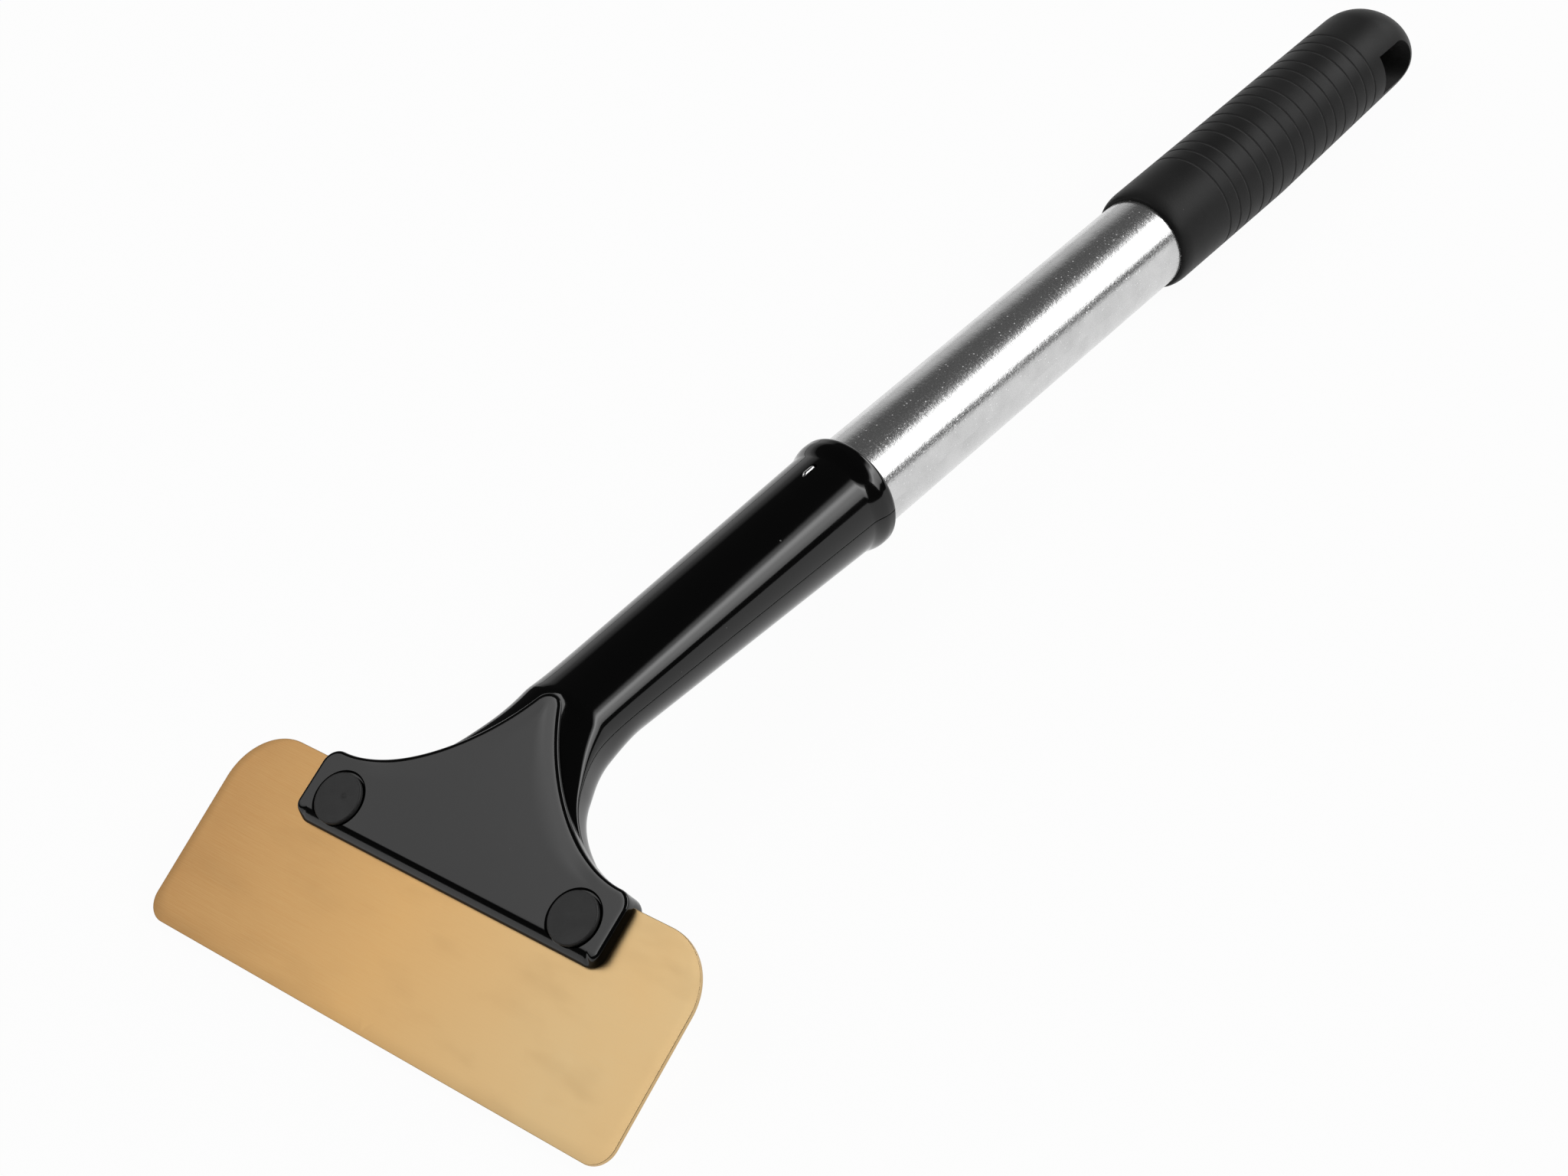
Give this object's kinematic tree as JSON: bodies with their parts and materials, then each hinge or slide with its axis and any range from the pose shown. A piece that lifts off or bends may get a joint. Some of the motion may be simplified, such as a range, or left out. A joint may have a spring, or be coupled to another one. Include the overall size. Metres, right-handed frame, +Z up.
{
  "type": "ice scraper",
  "caption": "Hand ice scraper: a flat brass blade clamped in a glossy black head with a bent neck, on a straight steel tube with a ribbed rubber grip and a hanging hole.",
  "frame": {"origin": "centre of the bottom of the bounding box, on the ground the tool lies on", "axes": "+X across the blade, +Y from the blade's cutting edge to the end of the grip, +Z up, with the front of the head upwards"},
  "size_m": [0.129, 0.3706, 0.0342],
  "materials": {
    "brass": "finely brushed along the width",
    "head_plastic": "glossy black moulding",
    "cap_plastic": "matt dark grey",
    "tube_steel": "bright plated steel with small scratches",
    "fastener_steel": "plain bright steel",
    "grip_rubber": "matt black rubber"
  },
  "bodies": {
    "root": {"scraper_blade": "brass", "head_front_shell": "head_plastic", "head_rear_shell": "head_plastic", "clamp_screw_left": "fastener_steel", "clamp_screw_right": "fastener_steel", "clamp_nut_left": "fastener_steel", "clamp_nut_right": "fastener_steel", "screw_cap_left": "cap_plastic", "screw_cap_right": "cap_plastic", "handle_tube": "tube_steel", "tube_staple": "fastener_steel", "grip_sleeve": "grip_rubber"}
  },
  "joints": []
}
